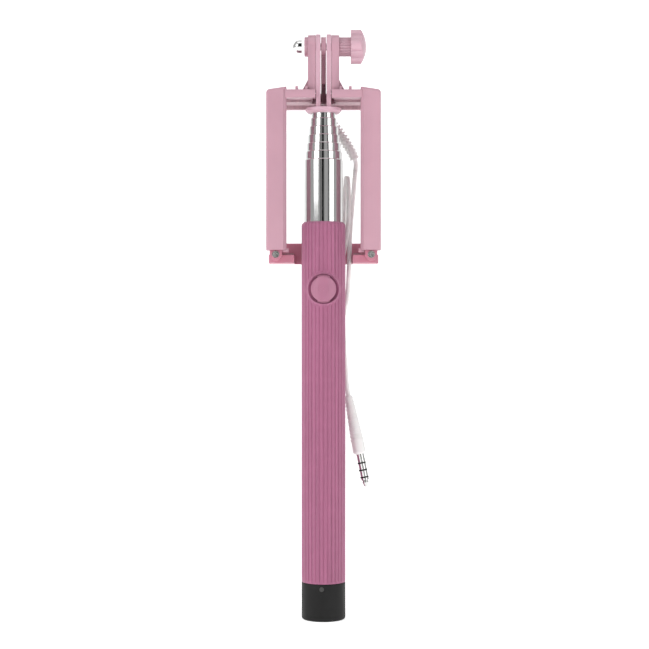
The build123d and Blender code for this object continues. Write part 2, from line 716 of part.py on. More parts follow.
with BuildPart() as clamp_frame:
    slab((-RAIL_IN - 0.5, JAW_FRONT, JAW_BOTTOM), (RAIL_IN + 0.5, RAIL_BACK, JAW_TOP))
    with BuildSketch(Plane.XY.offset(JAW_BOTTOM)):
        with Locations((0, (RAIL_BACK + JAW_BACK) / 2)):
            Rectangle(2 * JAW_HALF, JAW_BACK - RAIL_BACK)
    extrude(amount=JAW_TOP - JAW_BOTTOM)
    back_corners = clamp_frame.edges().filter_by(Axis.Z).group_by(Axis.Y)[-1]
    fillet(back_corners, JAW_CORNER_R)
    slab(
        (-JAW_HALF + LIP_INSET, LIP_FRONT, UPPER_LIP_BOTTOM),
        (JAW_HALF - LIP_INSET, JAW_BACK, JAW_BOTTOM + 1),
    )
    for side in SIDES:
        inner, outer = sorted((side * EAR_IN, side * EAR_OUT))
        lug(inner, outer, JAW_TOP - 1)
        with BuildSketch(Plane.XZ.offset(GUSSET_HALF_DEPTH)):
            with BuildLine():
                Polyline(
                    (side * (EAR_OUT - 0.5), JAW_TOP - 0.5),
                    (side * GUSSET_OUT, JAW_TOP - 0.5),
                    (side * GUSSET_OUT, JAW_TOP + 0.3),
                    (side * EAR_OUT, JAW_TOP + GUSSET_HEIGHT),
                    (side * (EAR_OUT - 0.5), JAW_TOP + GUSSET_HEIGHT),
                    close=True,
                )
            make_face()
        extrude(amount=-2 * GUSSET_HALF_DEPTH)
        for place in RIB_PLACES:
            slab(
                (side * place - JAW_RIB_WIDTH / 2, JAW_FRONT + 0.4, JAW_TOP - 0.5),
                (side * place + JAW_RIB_WIDTH / 2, 11.0, JAW_TOP + JAW_RIB_HEIGHT),
            )
    slab(
        (-FRONT_SLOT_HALF, JAW_FRONT - 1, JAW_BOTTOM - 1),
        (FRONT_SLOT_HALF, STICK_SLOT_BACK, JAW_TOP),
        mode=Mode.SUBTRACT,
    )
    slab(
        (-STICK_SLOT_HALF, FRONT_BAR_BACK, JAW_BOTTOM - 1),
        (STICK_SLOT_HALF, STICK_SLOT_BACK, JAW_TOP),
        mode=Mode.SUBTRACT,
    )
    with BuildSketch(upright_at(-PRONG_HALF)):
        with Locations((0, PIVOT_Z)):
            Circle(PRONG_R)
    extrude(amount=2 * PRONG_HALF)
    with BuildSketch(upright_at(-PRONG_HALF)):
        with BuildLine():
            Polyline(
                (PRONG_FRONT, PRONG_BOTTOM),
                (STICK_SLOT_BACK, PRONG_BOTTOM),
                (STICK_SLOT_BACK, JAW_BOTTOM + 1),
                (PRONG_FOOT_BACK, JAW_BOTTOM + 1),
                (PRONG_FOOT_BACK, JAW_TOP),
                (PRONG_R, PIVOT_Z),
                (PRONG_FRONT, PIVOT_Z),
                close=True,
            )
        make_face()
    extrude(amount=2 * PRONG_HALF)
    with Locations(PIVOT.offset(BOSS_FACE)):
        Cylinder(BOSS_R, EAR_OUT - BOSS_FACE - 2 * EAR_OUT + 0.5, align=CENTRE_BOTTOM)
    with BuildSketch(PIVOT.offset(BOSS_FACE - 1)):
        RegularPolygon(HEX_R + 0.05, 6)
    extrude(amount=NUT_INNER - BOSS_FACE + 1 + FIT, mode=Mode.SUBTRACT)
    with Locations(PIVOT):
        Cylinder(BOLT_HOLE_R, 30, mode=Mode.SUBTRACT)
    for piece in rails:
        add(piece)
save(clamp_frame, "clamp_frame")

with BuildPart() as acorn_nut:
    with BuildSketch(PIVOT.offset(NUT_INNER - NUT_HEX)):
        RegularPolygon(HEX_R, 6)
    extrude(amount=NUT_HEX)
    with Locations(PIVOT.offset(NUT_TIP + NUT_DOME_R)):
        Sphere(NUT_DOME_R)
        Cylinder(NUT_DOME_R, NUT_INNER - NUT_TIP - NUT_DOME_R - 1, align=CENTRE_BOTTOM)
    with Locations(PIVOT.offset(BOLT_TIP - 0.3)):
        Cylinder(BOLT_R + FIT, NUT_INNER - BOLT_TIP + 1, align=CENTRE_BOTTOM, mode=Mode.SUBTRACT)
save(acorn_nut, "acorn_nut")

with BuildPart() as hinge_bolt:
    with Locations(PIVOT.offset(BOLT_TIP)):
        Cylinder(BOLT_R, BOLT_HEAD_INNER - BOLT_TIP, align=CENTRE_BOTTOM)
    with BuildSketch(PIVOT.offset(BOLT_HEAD_INNER)):
        RegularPolygon(HEX_R, 6)
    extrude(amount=BOLT_HEAD_OUTER - BOLT_HEAD_INNER)
    chamfer(hinge_bolt.faces().sort_by(Axis.X)[0].edges(), 0.3)
save(hinge_bolt, "hinge_bolt")

KNURL_COUNT = 22
KNURL_R = 0.35

with BuildPart() as thumb_knob:
    with BuildSketch(PIVOT.offset(KNOB_STEP)):
        Circle(KNOB_R - 1.5)
        with PolarLocations(KNOB_R - KNOB_LOBE_R, 4, start_angle=0):
            Circle(KNOB_LOBE_R)
    extrude(amount=KNOB_TIP - KNOB_STEP)
    with Locations(PIVOT.offset(KNOB_TIP - KNOB_DOME_R)):
        Sphere(KNOB_DOME_R, mode=Mode.INTERSECT)
    with BuildSketch(PIVOT.offset(KNOB_INNER)):
        Circle(KNOB_NECK_R)
        with PolarLocations(KNOB_NECK_R, KNURL_COUNT):
            Circle(KNURL_R, mode=Mode.SUBTRACT)
    extrude(amount=KNOB_STEP - KNOB_INNER + 0.5)
    with Locations(PIVOT.offset(KNOB_INNER - 1)):
        Cylinder(BOLT_R + FIT, BOLT_HEAD_INNER - KNOB_INNER + 2, align=CENTRE_BOTTOM,
                 mode=Mode.SUBTRACT)
    with BuildSketch(PIVOT.offset(BOLT_HEAD_INNER - FIT)):
        RegularPolygon(HEX_R + FIT, 6)
    extrude(amount=BOLT_HEAD_OUTER - BOLT_HEAD_INNER + 2 * FIT, mode=Mode.SUBTRACT)
save(thumb_knob, "thumb_knob")


# ---- pieces that come in left and right ------------------------------------
def rail_cover(mid):
    """Strip that closes a rail's back."""
    with BuildPart() as cover:
        slab(
            (mid - COVER_HALF, RAIL_BACK - COVER_THICK + FIT, COVER_BOTTOM),
            (mid + COVER_HALF, RAIL_BACK, COVER_TOP),
        )
        chamfer(cover.faces().sort_by(Axis.Y)[-1].edges(), 0.2)
        with Locations(Plane(origin=(mid, RAIL_BACK, COVER_SCREW_Z), z_dir=(0, 1, 0))):
            Cylinder(0.65, 3, mode=Mode.SUBTRACT)
            Cylinder(1.05, 1.0, mode=Mode.SUBTRACT)
    return cover


def slider_arm(mid):
    """Flat arm with a rounded lower end and a forked top for the spring's pin."""
    with BuildPart() as arm:
        with BuildSketch(Plane.XZ.offset(-ARM_BACK)):
            with Locations((mid, (ARM_END_Z + ARM_TOP) / 2)):
                Rectangle(2 * ARM_HALF, ARM_TOP - ARM_END_Z)
            with Locations((mid, ARM_END_Z)):
                Circle(ARM_HALF)
        extrude(amount=ARM_BACK - ARM_FRONT)
        with Locations(Plane.XZ):
            with Locations((mid, ARM_END_Z)):
                Cylinder(JAW_SCREW_R + FIT, 20, mode=Mode.SUBTRACT)
            with Locations((mid, ARM_PIN_Z)):
                Cylinder(PIN_R + FIT, 20, mode=Mode.SUBTRACT)
        slab(
            (mid - ARM_HALF - 1, SPRING_Y - 0.6, ARM_PIN_Z - 2.0),
            (mid + ARM_HALF + 1, SPRING_Y + 0.6, ARM_TOP + 1),
            mode=Mode.SUBTRACT,
        )
    return arm


def spring(mid):
    """Extension spring: a coil with a round hook over the pin at each end."""
    coil_height = SPRING_PITCH * SPRING_TURNS
    coil_bottom = (ARM_PIN_Z + FRAME_PIN_Z - coil_height) / 2
    with BuildPart() as wire:
        with BuildLine():
            line = Helix(SPRING_PITCH, coil_height, SPRING_R, center=(mid, SPRING_Y, coil_bottom))
        with BuildSketch(Plane(origin=line @ 0, z_dir=line % 0)):
            Circle(SPRING_WIRE)
        sweep(is_frenet=True)
        for pin_z, end in ((ARM_PIN_Z, line @ 0), (FRAME_PIN_Z, line @ 1)):
            up = 1 if end.Z > pin_z else -1
            ring_edge = pin_z + up * HOOK_R
            with Locations(Plane(origin=(mid, SPRING_Y, pin_z), z_dir=(0, 1, 0))):
                Torus(HOOK_R, SPRING_WIRE)
            with Locations((mid, SPRING_Y, min(ring_edge, end.Z))):
                Cylinder(SPRING_WIRE, abs(end.Z - ring_edge), align=CENTRE_BOTTOM)
            with Locations(end):
                Sphere(SPRING_WIRE + FIT)
            with Locations((mid, SPRING_Y, end.Z)):
                Sphere(SPRING_WIRE + FIT)
            with Locations(Plane(origin=(mid, SPRING_Y, end.Z), z_dir=(1, 0, 0))):
                Cylinder(SPRING_WIRE, SPRING_R, align=CENTRE_BOTTOM)
    return wire


for side, hand in zip(SIDES, ("left", "right")):
    save(rail_cover(side * RAIL_MID), f"rail_cover_{hand}")
    save(slider_arm(side * RAIL_MID), f"slider_arm_{hand}")
    save(spring(side * RAIL_MID), f"spring_{hand}")

with BuildPart() as cover_screws:
    for side in SIDES:
        with Locations(Plane(origin=(side * RAIL_MID, RAIL_BACK - FIT, COVER_SCREW_Z), z_dir=(0, 1, 0))):
            Cylinder(1.0, 0.46, align=CENTRE_TOP)
            Cylinder(0.58, 4.0, align=CENTRE_TOP)
            Box(1.4, 0.3, 0.25, align=CENTRE_TOP, mode=Mode.SUBTRACT)
            Box(0.3, 1.4, 0.25, align=CENTRE_TOP, mode=Mode.SUBTRACT)
save(cover_screws, "cover_screws")


def cross_pins(z, back, front):
    """One pin across each rail, along Y."""
    with BuildPart() as pins:
        for side in SIDES:
            with Locations(Plane(origin=(side * RAIL_MID, back, z), z_dir=(0, -1, 0))):
                Cylinder(PIN_R - FIT, back - front, align=CENTRE_BOTTOM)
    return pins


save(cross_pins(FRAME_PIN_Z, RAIL_BACK - COVER_THICK, RAIL_FRONT + 0.5), "frame_spring_pins")
save(cross_pins(ARM_PIN_Z, ARM_BACK, ARM_FRONT), "arm_spring_pins")

with BuildPart() as jaw_screws:
    for side in SIDES:
        with Locations(Plane(origin=(side * RAIL_MID, ARM_FRONT - FIT, ARM_END_Z), z_dir=(0, -1, 0))):
            Cylinder(JAW_SCREW_HEAD_R, 0.8, align=CENTRE_BOTTOM)
            Cylinder(JAW_SCREW_R, 6.5, align=CENTRE_TOP)
            with Locations((0, 0, 0.8)):
                Box(1.8, 0.4, 0.35, align=CENTRE_TOP, mode=Mode.SUBTRACT)
                Box(0.4, 1.8, 0.35, align=CENTRE_TOP, mode=Mode.SUBTRACT)
save(jaw_screws, "jaw_screws")

with BuildPart() as lower_jaw:
    with BuildSketch(Plane.XY.offset(LOWER_BOTTOM)):
        with Locations((0, (TAB_FRONT + JAW_BACK) / 2)):
            RectangleRounded(2 * LOWER_HALF, JAW_BACK - TAB_FRONT, 2.0)
        with Locations((0, (TAB_FRONT + LIP_FRONT) / 2 - 5)):
            Rectangle(2 * NOTCH_HALF, LIP_FRONT - TAB_FRONT + 10, mode=Mode.SUBTRACT)
    extrude(amount=LOWER_TOP - LOWER_BOTTOM)
    slab((-LOWER_HALF + 3, LIP_FRONT, LOWER_TOP - 1), (LOWER_HALF - 3, JAW_BACK, LOWER_LIP_TOP))
    fillet(lower_jaw.faces().sort_by(Axis.Z)[-1].edges(), 0.6)
    for side in SIDES:
        mid = side * RAIL_MID
        slab((mid - ARM_HALF, TAB_FRONT, LOWER_TOP - 1), (mid + ARM_HALF, TAB_BACK, TAB_TOP))
        with Locations(Plane(origin=(mid, 0, ARM_END_Z), z_dir=(0, -1, 0))):
            Cylinder(JAW_SCREW_R + FIT, 5.5, mode=Mode.SUBTRACT)
save(lower_jaw, "lower_jaw")

# ---- soft pads on the jaws ------------------------------------------------
with BuildPart() as upper_jaw_pad:
    slab(
        (-JAW_HALF + 3, LIP_FRONT - PAD_THICK, UPPER_LIP_BOTTOM + 0.1),
        (JAW_HALF - 3, LIP_FRONT - FIT, JAW_BOTTOM - FIT),
    )
    slab((-JAW_HALF + 3, 1.0, JAW_BOTTOM - PAD_THICK), (JAW_HALF - 3, LIP_FRONT - FIT, JAW_BOTTOM - FIT))
    slab(
        (-STICK_SLOT_HALF - 0.4, 0, UPPER_LIP_BOTTOM),
        (STICK_SLOT_HALF + 0.4, STICK_SLOT_BACK + 0.4, JAW_BOTTOM),
        mode=Mode.SUBTRACT,
    )
save(upper_jaw_pad, "upper_jaw_pad")

with BuildPart() as lower_jaw_pads:
    for side in SIDES:
        inner, outer = sorted((side * (NOTCH_HALF + 0.4), side * (LOWER_HALF - 0.6)))
        slab((inner, TAB_BACK + 0.3, LOWER_TOP + FIT), (outer, LIP_FRONT - 0.3, LOWER_TOP + PAD_THICK))
save(lower_jaw_pads, "lower_jaw_pads")
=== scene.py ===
import math

import bpy
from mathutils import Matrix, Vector


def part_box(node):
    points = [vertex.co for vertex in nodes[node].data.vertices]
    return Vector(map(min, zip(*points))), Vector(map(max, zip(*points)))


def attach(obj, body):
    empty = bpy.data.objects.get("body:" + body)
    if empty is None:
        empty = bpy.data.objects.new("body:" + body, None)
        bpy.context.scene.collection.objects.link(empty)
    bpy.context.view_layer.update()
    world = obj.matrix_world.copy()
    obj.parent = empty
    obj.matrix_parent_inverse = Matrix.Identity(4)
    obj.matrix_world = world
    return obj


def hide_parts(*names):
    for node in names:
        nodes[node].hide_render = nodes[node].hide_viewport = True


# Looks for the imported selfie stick.  Metres, +Z up the stick, -Y the button side.

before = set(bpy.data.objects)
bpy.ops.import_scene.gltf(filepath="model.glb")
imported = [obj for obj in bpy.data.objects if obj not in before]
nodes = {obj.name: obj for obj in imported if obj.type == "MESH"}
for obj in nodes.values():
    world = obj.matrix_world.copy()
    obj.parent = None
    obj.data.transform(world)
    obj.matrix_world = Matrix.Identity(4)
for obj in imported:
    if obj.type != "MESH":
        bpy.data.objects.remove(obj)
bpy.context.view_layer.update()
MM = 0.001
NOISE_ROUGHNESS = 0.55
# Sockets of the Mix node in its colour form, which share their names with the other forms.
MIX_FACTOR, MIX_FIRST, MIX_SECOND, MIX_RESULT = 0, 6, 7, 2


# ---- node helpers ---------------------------------------------------------
class Shader:
    """Builds one node material step by step around a Principled shader."""

    def __init__(self, name):
        self.material = bpy.data.materials.new(name)
        self.material.use_nodes = True
        self.tree = self.material.node_tree
        self.principled = self.tree.nodes["Principled BSDF"]
        self.place = self.tree.nodes.new("ShaderNodeTexCoord").outputs["Object"]

    def add(self, kind, **inputs):
        node = self.tree.nodes.new(kind)
        for key, value in inputs.items():
            self.feed(node.inputs[key.replace("_", " ")], value)
        return node

    def feed(self, socket, value):
        if isinstance(value, bpy.types.NodeSocket):
            self.tree.links.new(value, socket)
        else:
            socket.default_value = value

    def put(self, name, value):
        self.feed(self.principled.inputs[name], value)

    def stretched(self, scale):
        """Object coordinates scaled per axis."""
        return self.add("ShaderNodeMapping", Vector=self.place, Scale=scale).outputs["Vector"]

    def noise(self, scale, detail=3.0, place=None):
        """Noise value; scale is in cells per metre."""
        node = self.add("ShaderNodeTexNoise", Vector=place or self.place, Scale=scale,
                        Detail=detail, Roughness=NOISE_ROUGHNESS)
        return node.outputs["Fac"]

    def remap(self, value, low, high, start=0.3, end=0.7):
        """Maps start..end of a value to low..high."""
        node = self.add("ShaderNodeMapRange", Value=value)
        node.inputs["From Min"].default_value = start
        node.inputs["From Max"].default_value = end
        node.inputs["To Min"].default_value = low
        node.inputs["To Max"].default_value = high
        return node.outputs["Result"]

    def mix(self, factor, first, second):
        """Colour mix."""
        node = self.tree.nodes.new("ShaderNodeMix")
        node.data_type = "RGBA"
        self.feed(node.inputs[MIX_FACTOR], factor)
        self.feed(node.inputs[MIX_FIRST], first)
        self.feed(node.inputs[MIX_SECOND], second)
        return node.outputs[MIX_RESULT]

    def bump(self, *layers, edge=0.0):
        """Stacks bump layers, each (height, strength, distance in metres), on edges softened by edge."""
        normal = None
        if edge:
            normal = self.add("ShaderNodeBevel", Radius=edge).outputs["Normal"]
        for height, strength, distance in layers:
            node = self.add("ShaderNodeBump", Height=height, Strength=strength, Distance=distance)
            if normal is not None:
                self.feed(node.inputs["Normal"], normal)
            normal = node.outputs["Normal"]
        self.put("Normal", normal)


def linear(red, green, blue):
    """An sRGB display colour, 0-255, as the linear colour a shader takes."""
    def channel(value):
        value = value / 255
        return value / 12.92 if value <= 0.04045 else ((value + 0.055) / 1.055) ** 2.4
    return (channel(red), channel(green), channel(blue), 1)


def shaded(colour, factor):
    """A lighter or darker copy of a colour."""
    return tuple(min(1, factor * value) for value in colour[:3]) + (1,)


def plastic(name, colour, edge=0.25 * MM):
    """Moulded glossy plastic: flow mottling, satin sheen, fine orange peel, edges lighter where they are
    sharp.
    """
    shader = Shader(name)
    cloud = shader.noise(60, 4)
    fine = shader.noise(4500, 2)
    peel = shader.noise(900, 3)
    tone = shader.mix(shader.remap(cloud, 0, 1), shaded(colour, 0.93), shaded(colour, 1.05))
    # Sharp convex edges are made a lighter pink.
    pointed = shader.add("ShaderNodeNewGeometry").outputs["Pointiness"]
    sharp_edge_lightening = shader.remap(pointed, 0, 0.5, 0.52, 0.6)
    shader.put("Base Color", shader.mix(sharp_edge_lightening, tone, shaded(colour, 1.25)))
    shader.put("Roughness", shader.remap(shader.noise(350, 4), 0.3, 0.46))
    shader.put("Specular IOR Level", 0.5)
    shader.put("Subsurface Weight", 0.08)
    shader.put("Subsurface Radius", (1.0, 0.5, 0.5))
    shader.put("Subsurface Scale", 0.8 * MM)
    shader.bump((peel, 0.12, 0.05 * MM), (fine, 0.1, 0.01 * MM), edge=edge)
    return shader.material


def rubber(name, colour, sheen=0.25):
    """Soft matt rubber with long streaks, patches of dust and a fine grain."""
    shader = Shader(name)
    streaks = shader.noise(1, 4, place=shader.stretched((900, 900, 14)))
    dust = shader.noise(220, 5)
    tone = shader.mix(shader.remap(streaks, 0, 1), shaded(colour, 0.84), shaded(colour, 1.14))
    dusty = shader.remap(dust, 0, 0.22, 0.5, 0.75)
    shader.put("Base Color", shader.mix(dusty, tone, shaded(colour, 1.35)))
    shader.put("Roughness", shader.remap(shader.noise(600, 3), 0.5, 0.68))
    shader.put("Sheen Weight", sheen)
    shader.put("Sheen Roughness", 0.5)
    shader.bump((shader.noise(5000, 3), 0.35, 0.03 * MM), (dust, 0.1, 0.1 * MM), edge=0.15 * MM)
    return shader.material


def chrome(name, tint):
    """Polished metal: long faint drawing lines, rings across them and smudges."""
    shader = Shader(name)
    lines = shader.noise(1, 3, place=shader.stretched((5000, 5000, 30)))
    rings = shader.noise(1, 2, place=shader.stretched((40, 40, 3500)))
    smudge = shader.noise(90, 5)
    colour = (tint, tint, 0.99 * tint, 1)
    shader.put("Base Color", shader.mix(shader.remap(smudge, 0, 1), colour, shaded(colour, 0.9)))
    shader.put("Metallic", 1.0)
    shader.put("Roughness", shader.remap(smudge, 0.05, 0.17, 0.4, 0.75))
    shader.bump((lines, 0.06, 0.01 * MM), (rings, 0.04, 0.01 * MM))
    return shader.material


def steel(name, tint, roughness=0.22):
    """Plated steel hardware with turning marks."""
    shader = Shader(name)
    marks = shader.noise(1, 3, place=shader.stretched((700, 5000, 5000)))
    cloud = shader.noise(400, 4)
    colour = (tint, tint, 0.97 * tint, 1)
    shader.put("Base Color", shader.mix(shader.remap(cloud, 0, 1), colour, shaded(colour, 0.8)))
    shader.put("Metallic", 1.0)
    shader.put("Roughness", shader.remap(cloud, roughness - 0.08, roughness + 0.12))
    shader.bump((marks, 0.15, 0.01 * MM), edge=0.1 * MM)
    return shader.material


def vinyl(name, colour):
    """White cable jacket: slightly translucent, satin, faintly dirty."""
    shader = Shader(name)
    dirt = shader.noise(180, 5)
    tone = shader.mix(shader.remap(dirt, 0, 0.5, 0.5, 0.8), colour, shaded(colour, 0.82))
    shader.put("Base Color", tone)
    shader.put("Roughness", shader.remap(shader.noise(700, 3), 0.3, 0.45))
    shader.put("Subsurface Weight", 0.25)
    shader.put("Subsurface Radius", (1.0, 0.95, 0.9))
    shader.put("Subsurface Scale", 1.0 * MM)
    shader.bump((shader.noise(2500, 2), 0.08, 0.02 * MM), edge=0.12 * MM)
    return shader.material


def matt_black(name, level):
    """Moulded black plastic with a spark-eroded grain and rubbed patches."""
    shader = Shader(name)
    scuff = shader.noise(130, 6)
    colour = (level, level, level, 1)
    rubbed = shader.remap(scuff, 0, 1, 0.45, 0.7)
    shader.put("Base Color", shader.mix(rubbed, colour, shaded(colour, 1.7)))
    shader.put("Roughness", shader.remap(scuff, 0.48, 0.62))
    shader.put("Specular IOR Level", 0.25)
    shader.bump((shader.noise(3800, 2), 0.4, 0.03 * MM), edge=0.2 * MM)
    return shader.material


def circuit_board(name):
    """Green solder mask over copper tracks."""
    shader = Shader(name)
    tracks = shader.noise(900, 1)
    on_track = shader.remap(tracks, 0, 1, 0.5, 0.52)
    shader.put("Base Color", shader.mix(on_track, (0.01, 0.12, 0.03, 1), (0.02, 0.2, 0.06, 1)))
    shader.put("Roughness", shader.remap(shader.noise(500), 0.2, 0.35))
    shader.bump((tracks, 0.3, 0.02 * MM))
    return shader.material


# ---- materials ------------------------------------------------------------
FRAME_PINK = linear(188, 146, 160)
NECK_PINK = linear(200, 161, 175)
# Lower jaw and slider arms: the frame's pink darkened and deepened as painted shade, for the shade they
# sit in under the handle.
JAW_PINK_PAINTED_SHADE = linear(190, 122, 141)
GRIP_PINK = linear(166, 97, 130)
BUTTON_PINK = linear(176, 115, 141)
# Grey-pink of the jaw pads, made lighter as painted light to make up for the shadow the upper pad sits in.
PAD_PINK_LIGHTENED = linear(190, 158, 166)
KNOB_PINK = linear(200, 162, 175)
CABLE_WHITE = linear(243, 241, 240)
NYLON_WHITE = linear(214, 212, 204)

looks = {
    "frame_pink": plastic("frame_pink", FRAME_PINK),
    # The jaw's material is the frame's pink in painted shade.
    "neck_pink": plastic("neck_pink", NECK_PINK),
    "jaw_pink_painted_shade": plastic("jaw_pink_painted_shade", JAW_PINK_PAINTED_SHADE),
    "button_pink": plastic("button_pink", BUTTON_PINK, edge=0.1 * MM),
    "knob_pink": plastic("knob_pink", KNOB_PINK),
    "grip": rubber("grip_rubber", GRIP_PINK),
    # The pads' rubber colour carries painted light: it is lightened against the pads' shadow.
    "pad": rubber("pad_rubber", PAD_PINK_LIGHTENED, sheen=0.1),
    "chrome": chrome("tube_chrome", 0.66),
    "plug": chrome("plug_nickel", 0.72),
    "steel": steel("hardware_steel", 0.66),
    "dome": chrome("nut_chrome", 0.82),
    "cable": vinyl("cable_vinyl", CABLE_WHITE),
    "cap": matt_black("cap_black", 0.007),
    "dull_steel": steel("cap_screw_steel", 0.1, 0.4),
    "black": matt_black("insulator_black", 0.015),
    "nylon": rubber("bush_nylon", NYLON_WHITE, sheen=0.0),
    "board": circuit_board("board_green"),
}

WEARS = {
    "frame_pink": ["clamp_frame", "rail_cover_left", "rail_cover_right"],
    "neck_pink": ["neck_base"],
    "jaw_pink_painted_shade": ["lower_jaw", "slider_arm_left", "slider_arm_right"],
    "button_pink": ["button_cap"],
    "knob_pink": ["thumb_knob"],
    "grip": ["grip_sleeve"],
    "pad": ["upper_jaw_pad", "lower_jaw_pads"],
    "chrome": ["outer_tube"] + [f"section_tube_{step}" for step in range(1, 7)],
    "plug": ["plug_sleeve", "plug_ring_1", "plug_ring_2", "plug_tip"],
    "dull_steel": ["cap_screw"],
    "steel": ["cover_screws", "frame_spring_pins", "arm_spring_pins", "jaw_screws",
              "hinge_bolt", "spring_left", "spring_right"],
    "dome": ["acorn_nut"],
    "cable": ["cable", "cable_strain_relief", "plug_overmold"],
    "cap": ["end_cap"],
    "black": ["plug_insulator", "tact_switch", "switch_plunger", "switch_leads", "coil_cord"],
    "nylon": [f"friction_bush_{step}" for step in range(1, 7)] + ["cord_anchor", "switch_carrier"],
    "board": ["switch_board"],
}


def dress(obj, material):
    """Gives an object one material in place of any it had."""
    obj.data.materials.clear()
    obj.data.materials.append(material)


for look, names in WEARS.items():
    for node_name in names:
        dress(nodes[node_name], looks[look])


# ---- ribbed grip sleeve ---------------------------------------------------
RIB_COUNT = 34
RIB_DEPTH = 0.42 * MM
COLUMNS_PER_RIB = 14
VALLEY_RISE = (0.45, 0.98)      # the rib falls between these shares of the way from crest to valley
FOOT_ROW = 0.15 * MM
RIBS_START = 0.6 * MM           # the ribs rise between these heights over the sleeve's bottom
RIBS_FULL = 1.2 * MM
TOP_ROUND = 1.6 * MM
TOP_ROUND_STEPS = 9
BORE_CLEARANCE = 0.03 * MM      # between the sleeve and the outer tube
THINNEST_WALL = 0.05 * MM
RIM_R = 6.6 * MM                # the plain raised area round the button
RIM_FRONT = 10.5 * MM           # how far it stands out from the stick's axis
RIM_FACE_R = 7.6 * MM           # its curve, seen along the stick
RIM_FADE = (RIM_R - 0.7 * MM, RIM_R + 0.15 * MM)
RIM_RIBS_FADE = (RIM_R + 0.3 * MM, RIM_R + 1.1 * MM)
RIM_REACH = RIM_R + 1.0 * MM
OPENING_R = 5.87 * MM           # the hole the button moves in
OPENING_FADE = (OPENING_R - 0.15 * MM, OPENING_R + 0.25 * MM)
OPENING_FLOOR = 0.06 * MM       # the hole's floor, over the bore
FINE_REACH = RIM_R + 1.5 * MM   # rows are close together within this of the button's middle
FINE_START = RIM_R + 1.4 * MM
FINE_STEP = 0.22 * MM
COARSE_STEP = 3.0 * MM
COARSE_START = 4 * MM
TOP_GAP = 0.1 * MM              # least distance from the last coarse row to the round top


def smoothstep(value, start, end):
    """0 up to start, 1 from end, and a smooth rise between."""
    share = min(1.0, max(0.0, (value - start) / (end - start)))
    return share * share * (3 - 2 * share)


def grid_skin(name, rows):
    """Closed skin from rows of points; each row joins its own ends and the last row joins the first."""
    mesh = bpy.data.meshes.new(name)
    count = len(rows[0])
    points = [point for row in rows for point in row]
    faces = []
    for row in range(len(rows)):
        below = row * count
        above = ((row + 1) % len(rows)) * count
        for column in range(count):
            after = (column + 1) % count
            faces.append((below + column, below + after, above + after, above + column))
    mesh.from_pydata(points, [], faces)
    mesh.validate()
    for face in mesh.polygons:
        face.use_smooth = True
    obj = bpy.data.objects.new(name, mesh)
    bpy.context.scene.collection.objects.link(obj)
    return obj


def make_grip():
    """Sleeve with ribs along it, a round top edge and a plain raised area round the button's hole."""
    low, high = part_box("grip_sleeve")
    button_low, button_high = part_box("button_cap")
    button_z = (button_low.z + button_high.z) / 2
    outer = high.x
    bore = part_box("outer_tube")[1].x + BORE_CLEARANCE
    bottom, top = low.z, high.z
    columns = RIB_COUNT * COLUMNS_PER_RIB
    around = [2 * math.pi * column / columns for column in range(columns)]
    floor_r = bore + OPENING_FLOOR

    def rib(angle):
        """Rounded rib with a narrow valley, 0 in the valley and 1 on the crest."""
        phase = (angle * RIB_COUNT / (2 * math.pi)) % 1.0
        distance = abs(phase - 0.5) * 2
        return 1 - smoothstep(distance, *VALLEY_RISE)

    def radius(angle, z):
        """Outer radius of the sleeve at an angle from -Y and a height."""
        into_top = max(0.0, z - (top - TOP_ROUND))
        body = outer - (TOP_ROUND - math.sqrt(max(0, TOP_ROUND ** 2 - into_top ** 2)))
        side = outer * math.sin(angle)
        away = math.hypot(side, z - button_z) if math.cos(angle) > 0 else 1.0
        ribs = smoothstep(z, bottom + RIBS_START, bottom + RIBS_FULL)
        ribs *= smoothstep(away, *RIM_RIBS_FADE)
        result = body - RIB_DEPTH * (1 - rib(angle)) * ribs
        if away < RIM_REACH:
            cosine = math.cos(angle)
            centre = RIM_FRONT - RIM_FACE_R
            bulge = centre * cosine + math.sqrt(RIM_FACE_R ** 2 - (centre * math.sin(angle)) ** 2)
            rise = 1 - smoothstep(away, *RIM_FADE)
            result = max(result, result + (bulge - result) * rise)
            dip = 1 - smoothstep(away, *OPENING_FADE)
            result = result + (floor_r - result) * dip
        return result

    heights = [bottom, bottom + FOOT_ROW, bottom + RIBS_START, bottom + RIBS_FULL]
    height = bottom + COARSE_START
    while height < top - TOP_ROUND - TOP_GAP:
        heights.append(height)
        near = abs(height - button_z) < FINE_REACH
        height += FINE_STEP if near else COARSE_STEP
        if not near and abs(height - button_z) < FINE_REACH:
            height = button_z - FINE_START
    for step in range(TOP_ROUND_STEPS + 1):
        heights.append(top - TOP_ROUND + TOP_ROUND * math.sin(step / TOP_ROUND_STEPS * math.pi / 2))
    rows = []
    for z in heights:
        row = []
        for angle in around:
            r = max(bore + THINNEST_WALL, radius(angle, z))
            row.append((r * math.sin(angle), -r * math.cos(angle), z))
        rows.append(row)
    for z in (top, bottom):
        rows.append([(bore * math.sin(angle), -bore * math.cos(angle), z) for angle in around])
    grip = grid_skin("grip_sleeve_ribbed", rows)
    dress(grip, looks["grip"])
    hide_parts("grip_sleeve")
    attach(grip, "handle")


make_grip()


# ---- raised outline on the button -----------------------------------------
MARK_HALF_WIDTH = 2.2 * MM
MARK_HALF_HEIGHT = 1.4 * MM
MARK_CORNER = 0.5 * MM
MARK_CORNER_STEPS = 6
MARK_LENS_R = 0.8 * MM
MARK_STROKE = 0.28 * MM
MARK_LENS_INNER_R = MARK_LENS_R - MARK_STROKE
MARK_RISE = 0.1 * MM
MARK_SINK = 0.06 * MM
BUTTON_FACE_R = 7.9 * MM


